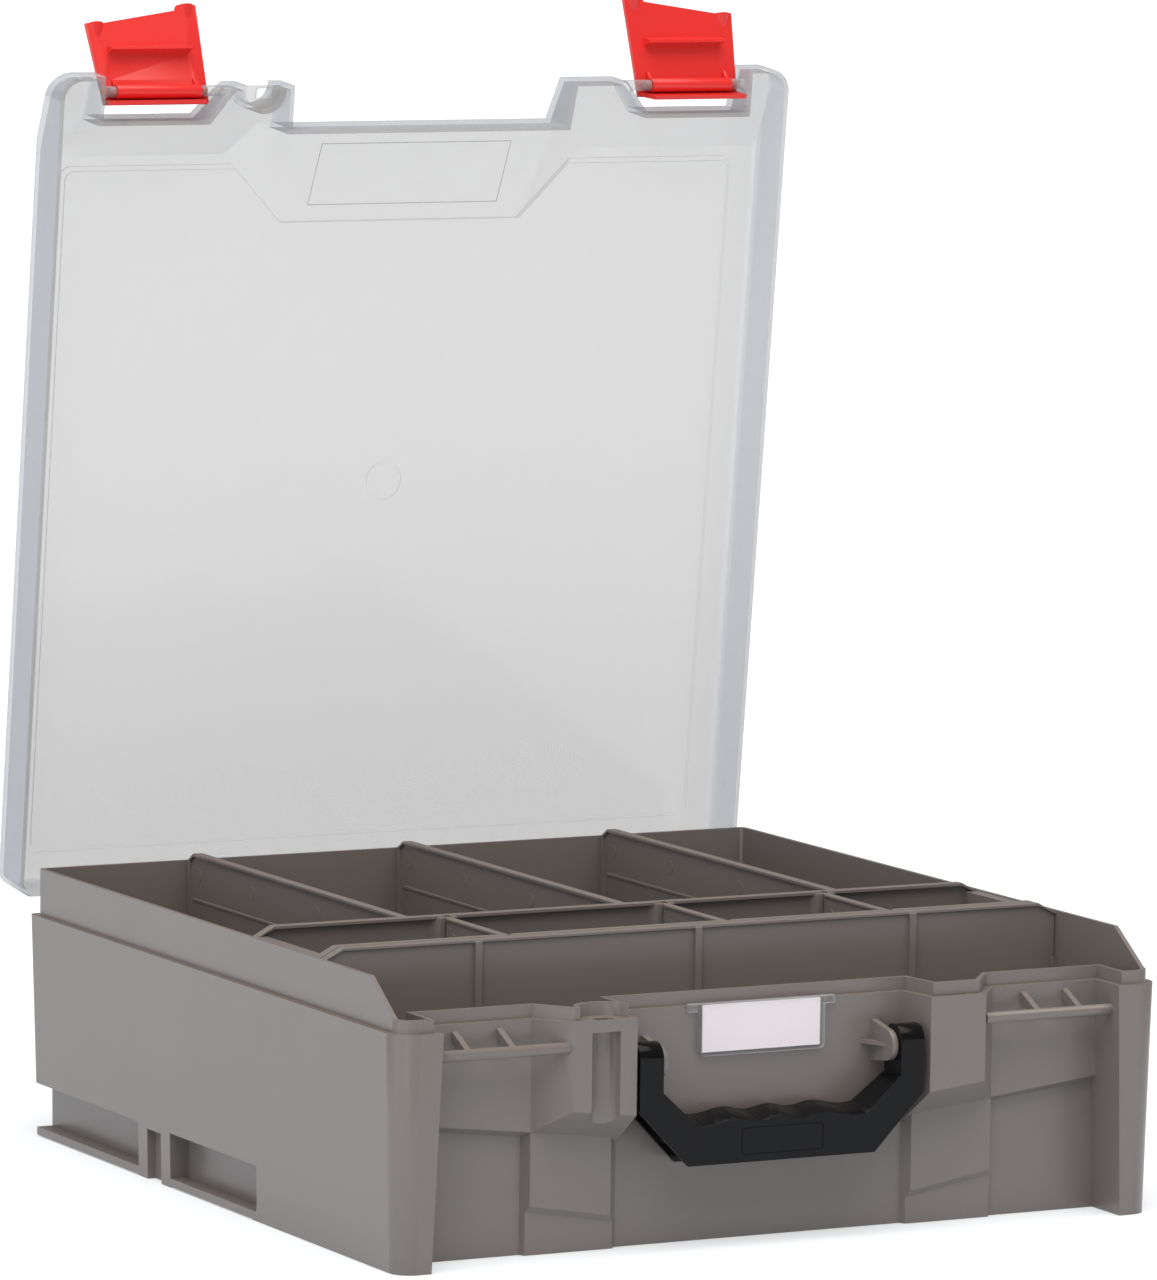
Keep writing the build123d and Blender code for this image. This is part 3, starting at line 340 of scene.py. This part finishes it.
class MaterialShop:
    """Makes one material for each finish."""

    def __init__(self, groups: EffectGroups) -> None:
        """Keeps the shared node groups."""
        self.groups = groups

    @staticmethod
    def _start(name: str) -> tuple[bpy.types.Material, bpy.types.Node]:
        """A material with only its Principled shader and output.

        Args:
            name: the material's name.

        Returns:
            The material and its shader node.
        """
        material = bpy.data.materials.new(name)
        material.use_nodes = True
        return material, material.node_tree.nodes["Principled BSDF"]

    @staticmethod
    def _group(material: bpy.types.Material, tree: bpy.types.NodeTree) -> bpy.types.Node:
        """Places a shared group in a material."""
        node = material.node_tree.nodes.new("ShaderNodeGroup")
        node.node_tree = tree
        return node

    def _bump(self, material: bpy.types.Material, grain: bpy.types.Node, distance: float) -> None:
        """Feeds the grain to the shader as a bump.

        Args:
            material: the material.
            grain: its grain group node.
            distance: how deep a height of 1 is, in metres.
        """
        tree = material.node_tree
        bump = tree.nodes.new("ShaderNodeBump")
        bump.inputs["Strength"].default_value = 1.0
        bump.inputs["Distance"].default_value = distance
        tree.links.new(grain.outputs["Height"], bump.inputs["Height"])
        tree.links.new(bump.outputs["Normal"], tree.nodes["Principled BSDF"].inputs["Normal"])

    def moulded(self, finish: MouldedFinish) -> bpy.types.Material:
        """Opaque moulded plastic.

        Args:
            finish: its colours and grain.

        Returns:
            The material.
        """
        material, shader = self._start(finish.name)
        links = material.node_tree.links
        grain = self._group(material, self.groups.grain)
        grain.inputs["Size"].default_value = finish.grain_mm * MM
        grain.inputs["Depth"].default_value = 1.0
        tone = self._group(material, self.groups.mottle)
        tone.inputs["Colour"].default_value = rgba(finish.colour)
        tone.inputs["Warm"].default_value = rgba(finish.warm)
        tone.inputs["Roughness"].default_value = finish.roughness
        tone.inputs["Smudge"].default_value = finish.smudge
        links.new(grain.outputs["Speck"], tone.inputs["Speck"])
        links.new(tone.outputs["Colour"], shader.inputs["Base Color"])
        links.new(tone.outputs["Roughness"], shader.inputs["Roughness"])
        shader.inputs["Specular IOR Level"].default_value = finish.specular
        self._bump(material, grain, finish.grain_depth * MM)
        return material

    def clear(self, finish: ClearFinish, across: Vector) -> bpy.types.Material:
        """Milky clear plastic, warm along the panel, with a painted cool reflection where it is seen
        at a slant.

        Args:
            finish: its colours and density.
            across: the direction through the panel at rest.

        Returns:
            The material.
        """
        material, shader = self._start(finish.name)
        nodes, links = material.node_tree.nodes, material.node_tree.links
        panel = self._group(material, self.groups.frost)
        panel.inputs["Across"].default_value = across
        facing = nodes.new("ShaderNodeLayerWeight")
        facing.inputs["Blend"].default_value = 0.5
        slant = nodes.new("ShaderNodeMath")
        slant.operation = "POWER"
        slant.inputs[1].default_value = finish.rise
        links.new(facing.outputs["Facing"], slant.inputs[0])
        tint = nodes.new("ShaderNodeMix")
        tint.data_type = "RGBA"
        tint.inputs["A"].default_value = rgba(finish.wall)
        tint.inputs["B"].default_value = rgba(finish.panel)
        links.new(panel.outputs["Mask"], tint.inputs["Factor"])
        # painted reflection: a cool tint mixed in as the face turns away from the view
        slant_reflection = nodes.new("ShaderNodeMix")
        slant_reflection.data_type = "RGBA"
        slant_reflection.inputs["B"].default_value = rgba(finish.slant_reflection)
        links.new(tint.outputs["Result"], slant_reflection.inputs["A"])
        links.new(slant.outputs[0], slant_reflection.inputs["Factor"])
        links.new(slant_reflection.outputs["Result"], shader.inputs["Base Color"])
        most = nodes.new("ShaderNodeMapRange")
        most.inputs["To Min"].default_value = finish.edge
        most.inputs["To Max"].default_value = finish.panel_edge
        links.new(panel.outputs["Mask"], most.inputs["Value"])
        density = nodes.new("ShaderNodeMapRange")
        # painted shade: the lid's density rises towards its foot, darkening its lower part
        foot_shade = nodes.new("ShaderNodeMath")
        foot_shade.operation = "MULTIPLY_ADD"
        foot_shade.inputs[1].default_value = finish.foot_shade
        foot_shade.inputs[2].default_value = finish.faced
        links.new(panel.outputs["Low"], foot_shade.inputs[0])
        links.new(foot_shade.outputs[0], density.inputs["To Min"])
        links.new(most.outputs["Result"], density.inputs["To Max"])
        links.new(slant.outputs[0], density.inputs["Value"])
        links.new(density.outputs["Result"], shader.inputs["Alpha"])
        shader.inputs["Roughness"].default_value = finish.roughness
        shader.inputs["IOR"].default_value = finish.ior
        grain = self._group(material, self.groups.grain)
        grain.inputs["Size"].default_value = finish.grain_mm * MM
        self._bump(material, grain, finish.grain_depth * MM)
        return material

    def paper(self, finish: PaperFinish) -> bpy.types.Material:
        """Card.

        Args:
            finish: its colour and fibre.

        Returns:
            The material.
        """
        material, shader = self._start(finish.name)
        links = material.node_tree.links
        grain = self._group(material, self.groups.grain)
        grain.inputs["Size"].default_value = finish.fibre_mm * MM
        tone = self._group(material, self.groups.mottle)
        tone.inputs["Colour"].default_value = rgba(finish.colour)
        tone.inputs["Warm"].default_value = rgba(finish.colour)
        tone.inputs["Roughness"].default_value = finish.roughness
        tone.inputs["Smudge"].default_value = finish.smudge
        links.new(grain.outputs["Speck"], tone.inputs["Speck"])
        links.new(tone.outputs["Colour"], shader.inputs["Base Color"])
        links.new(tone.outputs["Roughness"], shader.inputs["Roughness"])
        self._bump(material, grain, finish.fibre_depth_mm * MM)
        return material

    def steel(self, finish: SteelFinish) -> bpy.types.Material:
        """Drawn steel.

        Args:
            finish: its colour and roughness.

        Returns:
            The material.
        """
        material, shader = self._start(finish.name)
        links = material.node_tree.links
        shader.inputs["Metallic"].default_value = 1.0
        tone = self._group(material, self.groups.mottle)
        tone.inputs["Colour"].default_value = rgba(finish.colour)
        tone.inputs["Warm"].default_value = rgba(finish.colour)
        tone.inputs["Roughness"].default_value = finish.roughness
        tone.inputs["Smudge"].default_value = finish.smudge
        links.new(tone.outputs["Colour"], shader.inputs["Base Color"])
        links.new(tone.outputs["Roughness"], shader.inputs["Roughness"])
        return material


GREY_ABS = MouldedFinish(
    name="moulded_grey",
    colour=(0.194, 0.175, 0.169),
    warm=(0.184, 0.162, 0.152),
    roughness=0.31,
    grain_mm=0.35,
    grain_depth=0.012,
    smudge=0.05,
)
RED_LATCH = MouldedFinish(
    name="moulded_red",
    colour=(0.80, 0.030, 0.025),
    warm=(0.75, 0.024, 0.020),
    roughness=0.31,
    grain_mm=0.4,
    grain_depth=0.008,
    smudge=0.05,
)
BLACK_HANDLE = MouldedFinish(
    name="moulded_black",
    colour=(0.004, 0.004, 0.0045),
    warm=(0.005, 0.005, 0.006),
    roughness=0.20,
    grain_mm=0.4,
    grain_depth=0.008,
    smudge=0.15,
    specular=0.16,
)
LID_CLEAR = ClearFinish(
    name="clear_lid",
    wall=(0.33, 0.345, 0.38),
    panel=(0.42, 0.37, 0.335),
    # painted cool reflection at a slant
    slant_reflection=(0.52, 0.56, 0.63),
    roughness=0.10,
    faced=0.325,
    edge=0.75,
    rise=1.8,
    panel_edge=0.76,
    grain_mm=0.6,
    grain_depth=0.002,
    # painted shade towards the lid's foot
    foot_shade=0.05,
)
HOLDER_CLEAR = ClearFinish(
    name="clear_holder",
    wall=(0.30, 0.30, 0.31),
    panel=(0.80, 0.80, 0.82),
    slant_reflection=(0.45, 0.47, 0.50),
    roughness=0.10,
    faced=0.12,
    edge=0.90,
    rise=0.7,
    panel_edge=0.14,
    grain_mm=0.8,
    grain_depth=0.002,
)
LABEL_CARD = PaperFinish("label_card", (1.0, 0.93, 0.97), 0.15)
PIN_STEEL = SteelFinish("pin_steel", (0.56, 0.56, 0.57), 0.28)


def soften(node: bpy.types.Object, width_mm: float) -> None:
    """Rounds the moulded edges of a node with modifiers, its mesh left as it is.

    Args:
        node: the CAD node.
        width_mm: the edge radius, about.
    """
    weld = node.modifiers.new("weld", "WELD")
    weld.merge_threshold = WELD_GAP
    flat = node.modifiers.new("flat_faces", "DECIMATE")
    flat.decimate_type = "DISSOLVE"
    flat.angle_limit = math.radians(FLAT_DEG)
    bevel = node.modifiers.new("edge_radius", "BEVEL")
    bevel.width = width_mm * MM
    bevel.segments = EDGE_STEPS
    bevel.limit_method = "ANGLE"
    bevel.angle_limit = math.radians(EDGE_DEG)
    bevel.miter_outer = "MITER_ARC"
    bevel.harden_normals = True


class SubAssembly:
    """A group of CAD nodes with the finish they share."""

    def __init__(self, frame: dict, shop: MaterialShop) -> None:
        """Keeps the frame and the material maker."""
        self.frame = frame
        self.shop = shop

    def dress(self, name: str, material: bpy.types.Material, edge_mm: float = 0.0) -> None:
        """Gives a CAD node its material and its rounded edges.

        Args:
            name: the node.
            material: its finish.
            edge_mm: its edge radius in millimetres, 0 to leave the edges.
        """
        node = self.frame["nodes"][name]
        node.data.materials.clear()
        node.data.materials.append(material)
        if edge_mm:
            soften(node, edge_mm)
        log.info("dressed %s", name)


class GreyMouldings(SubAssembly):
    """Tub, bin, partition and dividers."""

    edge_mm = 0.5
    nodes = (
        "case_tub",
        "lift_out_bin",
        "front_partition",
        "rear_divider_left",
        "rear_divider_centre",
        "rear_divider_right",
        "middle_divider_left",
        "middle_divider_centre",
        "middle_divider_right",
    )

    def build(self) -> None:
        """Dresses the grey pieces."""
        grey = self.shop.moulded(GREY_ABS)
        for name in self.nodes:
            self.dress(name, grey, self.edge_mm)


@dataclass
class ClearLid(SubAssembly):
    """Lid with its latches and the raised outline of the bare panel in its dip."""

    frame: dict
    shop: MaterialShop
    outline_centre: Vector = field(default_factory=lambda: Vector((0.0023, 0.20492, 0.4809)))
    outline_normal: Vector = field(default_factory=lambda: Vector((0.0, -0.9763, -0.2164)))
    outline_wide_mm: float = 107.5
    outline_high_mm: float = 32.4
    outline_lean_mm: float = 4.6
    outline_line_mm: float = 0.5
    outline_proud_mm: float = 0.1
    lid_edge_mm: float = 0.5
    latch_edge_mm: float = 0.35

    def _outline(self, clear: bpy.types.Material) -> None:
        """Sets the raised outline on the inner face of the dip.

        Args:
            clear: the lid's material.
        """
        shape = bmesh.new()
        line, proud = self.outline_line_mm * MM, self.outline_proud_mm * MM
        lean = self.outline_lean_mm * MM / 2
        rings = []
        for inset, height in ((0.0, -proud), (line * 0.2, proud), (line * 0.8, proud), (line, -proud)):
            wide = self.outline_wide_mm * MM / 2 - inset
            high = self.outline_high_mm * MM / 2 - inset
            corners = (
                (-wide - lean, -high),
                (wide - lean, -high),
                (wide + lean, high),
                (lean - wide, high),
            )
            rings.append([shape.verts.new((x, y, height)) for x, y in corners])
        rings.append(rings[0])
        for outer, inner in zip(rings, rings[1:]):
            for step in range(4):
                after = (step + 1) % 4
                shape.faces.new((outer[step], outer[after], inner[after], inner[step]))
        piece = finish_mesh("lid_panel_outline", shape)
        out = self.outline_normal.normalized()
        along = Vector((1.0, 0.0, 0.0))
        turn = Matrix((along, out.cross(along), out)).transposed().to_4x4()
        piece.data.transform(Matrix.Translation(self.outline_centre) @ turn)
        piece.data.materials.append(clear)
        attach(piece, LID_BODY)
        log.info("set %s", piece.name)

    def build(self) -> None:
        """Dresses the lid and the latches."""
        joint = next(j for j in self.frame["joints"] if j["name"] == "lid_hinge")
        leaned = math.radians(-joint["range_deg"][0])
        across = Vector((0.0, math.sin(leaned), math.cos(leaned)))
        clear = self.shop.clear(LID_CLEAR, across)
        self.dress("lid_shell", clear, self.lid_edge_mm)
        self._outline(clear)
        red = self.shop.moulded(RED_LATCH)
        self.dress("latch_left", red, self.latch_edge_mm)
        self.dress("latch_right", red, self.latch_edge_mm)


@dataclass(frozen=True)
class PinMark:
    """Mark of an ejector pin: a faint round pad on a moulded face."""

    along_mm: float
    down_mm: float
    radius_mm: float = 3.4
    proud_mm: float = 0.25


def turned_pad(name: str, radius: float, proud: float) -> bpy.types.Object:
    """A low round pad with a softened rim, its flat side in the XY plane.

    Args:
        name: the piece's name.
        radius: its radius in metres.
        proud: how far it stands out in metres.

    Returns:
        The piece.
    """
    profile = ((radius, -proud), (radius, proud * 0.5), (radius - proud * 0.5, proud))
    shape = bmesh.new()
    rings = []
    for reach, height in profile:
        ring = []
        for step in range(PAD_STEPS):
            turn = 2 * math.pi * step / PAD_STEPS
            ring.append(shape.verts.new((reach * math.cos(turn), reach * math.sin(turn), height)))
        rings.append(ring)
    for lower, upper in zip(rings, rings[1:]):
        for step in range(PAD_STEPS):
            after = (step + 1) % PAD_STEPS
            shape.faces.new((lower[step], lower[after], upper[after], upper[step]))
    shape.faces.new(list(reversed(rings[0])))
    shape.faces.new(rings[-1])
    return finish_mesh(name, shape)


def finish_mesh(name: str, shape: bmesh.types.BMesh) -> bpy.types.Object:
    """Turns a finished bmesh into an object in the scene."""
    mesh = bpy.data.meshes.new(name)
    bmesh.ops.recalc_face_normals(shape, faces=shape.faces)
    shape.to_mesh(mesh)
    shape.free()
    piece = bpy.data.objects.new(name, mesh)
    bpy.context.scene.collection.objects.link(piece)
    return piece


@dataclass
class DividerMarks(SubAssembly):
    """Pin marks on the dividers' faces."""

    frame: dict
    shop: MaterialShop
    half_t_mm: float = 1.2
    rear: tuple[PinMark, ...] = (PinMark(11.5, 10.8), PinMark(74.0, 11.2), PinMark(148.0, 11.5))
    middle: tuple[PinMark, ...] = (PinMark(11.0, 9.5, 2.8),)

    def build(self) -> None:
        """Sets the marks on each divider's left face, measured from its rear upper corner."""
        grey = bpy.data.materials[GREY_ABS.name]
        for row, marks in ((Row.REAR, self.rear), (Row.MIDDLE, self.middle)):
            for where in Where:
                body = f"{row.value}_divider_{where.value}"
                low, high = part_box(body)
                for count, mark in enumerate(marks, 1):
                    name = f"{body}_pin_mark_{count}"
                    pad = turned_pad(name, mark.radius_mm * MM, mark.proud_mm * MM)
                    face = (low.x + high.x) / 2 - self.half_t_mm * MM
                    place = Vector((face, high.y - mark.along_mm * MM, high.z - mark.down_mm * MM))
                    turn = Matrix.Rotation(-math.pi / 2, 4, "Y")
                    pad.data.transform(Matrix.Translation(place) @ turn)
                    pad.data.materials.append(grey)
                    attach(pad, body)
                    log.info("set %s", pad.name)


class FrontFittings(SubAssembly):
    """Handle, label holder, card and hinge pins."""

    handle_edge_mm = 0.6
    holder_edge_mm = 0.3

    def build(self) -> None:
        """Dresses the small fittings."""
        facing_front = Vector((0.0, 1.0, 0.0))
        self.dress("handle", self.shop.moulded(BLACK_HANDLE), self.handle_edge_mm)
        holder = self.shop.clear(HOLDER_CLEAR, facing_front)
        self.dress("label_holder", holder, self.holder_edge_mm)
        self.dress("label_card", self.shop.paper(LABEL_CARD))
        self.dress("hinge_pins", self.shop.steel(PIN_STEEL))


@dataclass(frozen=True)
class Lamp:
    """A soft sun: where its light goes, how strong, wide and tinted it is."""

    name: str
    direction: tuple[float, float, float]
    strength: float
    wide_deg: float
    colour: Rgb


LAMPS = (
    Lamp("top", (0.15, 0.26, -1.0), 3.1, 70.0, (1.0, 0.95, 0.88)),
    Lamp("left", (1.0, 0.05, -0.02), 0.46, 40.0, (0.87, 0.92, 1.0)),
    Lamp("left_front", (0.72, 0.68, -0.12), 0.26, 26.0, (0.92, 0.95, 1.0)),
)


@dataclass
class Studio:
    """Pale floor, soft light and the camera of the photograph."""

    lens: float = 236.4
    place: Vector = field(default_factory=lambda: Vector((-1.8976, -3.6173, 0.7347)))
    aim: Vector = field(default_factory=lambda: Vector((-0.0046, 0.0004, 0.2644)))
    roll: float = 0.743
    floor_radius: float = 30.0
    floor_colour: Rgb = (0.64, 0.69, 0.75)
    floor_shown_colour: Rgb = (1.0, 0.98, 0.97)
    diffuse_sky: float = 0.42
    glossy_sky: float = 0.20
    floor_shown: float = 0.35

    def camera(self) -> None:
        """Places the camera as the photograph's was."""
        data = bpy.data.cameras.new("camera")
        data.lens = self.lens
        data.sensor_width = 36.0
        data.clip_start = 0.1
        data.clip_end = 100.0
        camera = bpy.data.objects.new("camera", data)
        bpy.context.scene.collection.objects.link(camera)
        look = (self.aim - self.place).normalized()
        right = look.cross(Vector((0, 0, 1))).normalized()
        up = right.cross(look)
        turn = Matrix((right, up, -look)).transposed().to_4x4()
        roll = Matrix.Rotation(math.radians(self.roll), 4, "Z")
        camera.matrix_world = Matrix.Translation(self.place) @ turn @ roll
        bpy.context.scene.camera = camera

    def floor(self) -> None:
        """Lays the floor, which the camera sees near white and which keeps the shadow."""
        mesh = bpy.data.meshes.new("floor")
        shape = bmesh.new()
        bmesh.ops.create_circle(shape, cap_ends=True, segments=64, radius=self.floor_radius)
        shape.to_mesh(mesh)
        shape.free()
        floor = bpy.data.objects.new("floor", mesh)
        floor.location.z = -FLOOR_DROP
        bpy.context.scene.collection.objects.link(floor)
        material = bpy.data.materials.new("pale_floor")
        material.use_nodes = True
        nodes, links = material.node_tree.nodes, material.node_tree.links
        shader = nodes["Principled BSDF"]
        shader.inputs["Base Color"].default_value = rgba(self.floor_colour)
        shader.inputs["Roughness"].default_value = 0.9
        shader.inputs["Specular IOR Level"].default_value = 0.0
        shader.inputs["Emission Color"].default_value = rgba(self.floor_shown_colour)
        shown = self.floor_shown
        strength = self._by_ray(nodes, links, 0.0, shown, shown, shown)
        links.new(strength, shader.inputs["Emission Strength"])
        mesh.materials.append(material)

    @staticmethod
    def _by_ray(
        nodes: bpy.types.Nodes,
        links: bpy.types.NodeLinks,
        plain: float,
        glossy: float,
        through: float,
        camera: float,
    ) -> bpy.types.NodeSocket:
        """A strength that depends on what looks at it.

        Args:
            nodes: the tree's nodes.
            links: the tree's links.
            plain: the strength as light.
            glossy: the strength in reflections.
            through: the strength seen through clear plastic.
            camera: the strength that the camera sees.

        Returns:
            The socket to link.
        """
        path = nodes.new("ShaderNodeLightPath")
        last: bpy.types.NodeSocket | None = None
        for ray, strength in (
            ("Is Glossy Ray", glossy),
            ("Is Transmission Ray", through),
            ("Is Camera Ray", camera),
        ):
            pick = nodes.new("ShaderNodeMix")
            pick.inputs["A"].default_value = plain
            pick.inputs["B"].default_value = strength
            links.new(path.outputs[ray], pick.inputs["Factor"])
            if last:
                links.new(last, pick.inputs["A"])
            last = pick.outputs["Result"]
        return last

    def world(self) -> None:
        """An even pale sky, white where it is seen."""
        world = bpy.data.worlds.new("studio")
        bpy.context.scene.world = world
        world.use_nodes = True
        nodes, links = world.node_tree.nodes, world.node_tree.links
        sky = nodes["Background"]
        sky.inputs["Color"].default_value = (1.0, 1.0, 1.0, 1)
        strength = self._by_ray(nodes, links, self.diffuse_sky, self.glossy_sky, 1.0, 1.0)
        links.new(strength, sky.inputs["Strength"])

    def light(self, lamp: Lamp) -> None:
        """Hangs a soft sun.

        Args:
            lamp: what it is like.
        """
        data = bpy.data.lights.new(lamp.name, "SUN")
        data.energy = lamp.strength
        data.angle = math.radians(lamp.wide_deg)
        data.color = lamp.colour
        sun = bpy.data.objects.new(lamp.name, data)
        sun.rotation_euler = Vector(lamp.direction).to_track_quat("-Z", "Y").to_euler()
        bpy.context.scene.collection.objects.link(sun)

    def build(self) -> None:
        """Sets up the whole studio."""
        self.camera()
        self.floor()
        self.world()
        for lamp in LAMPS:
            self.light(lamp)
        bpy.context.scene.view_settings.view_transform = "Standard"


def main() -> None:
    """Builds the looks of the case."""
    logging.basicConfig(level=logging.INFO, format="%(message)s")
    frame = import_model()
    shop = MaterialShop(EffectGroups())
    for part in (GreyMouldings, DividerMarks, ClearLid, FrontFittings):
        part(frame, shop).build()
    Studio().build()
    bpy.context.view_layer.update()


if __name__ == "__main__":
    main()
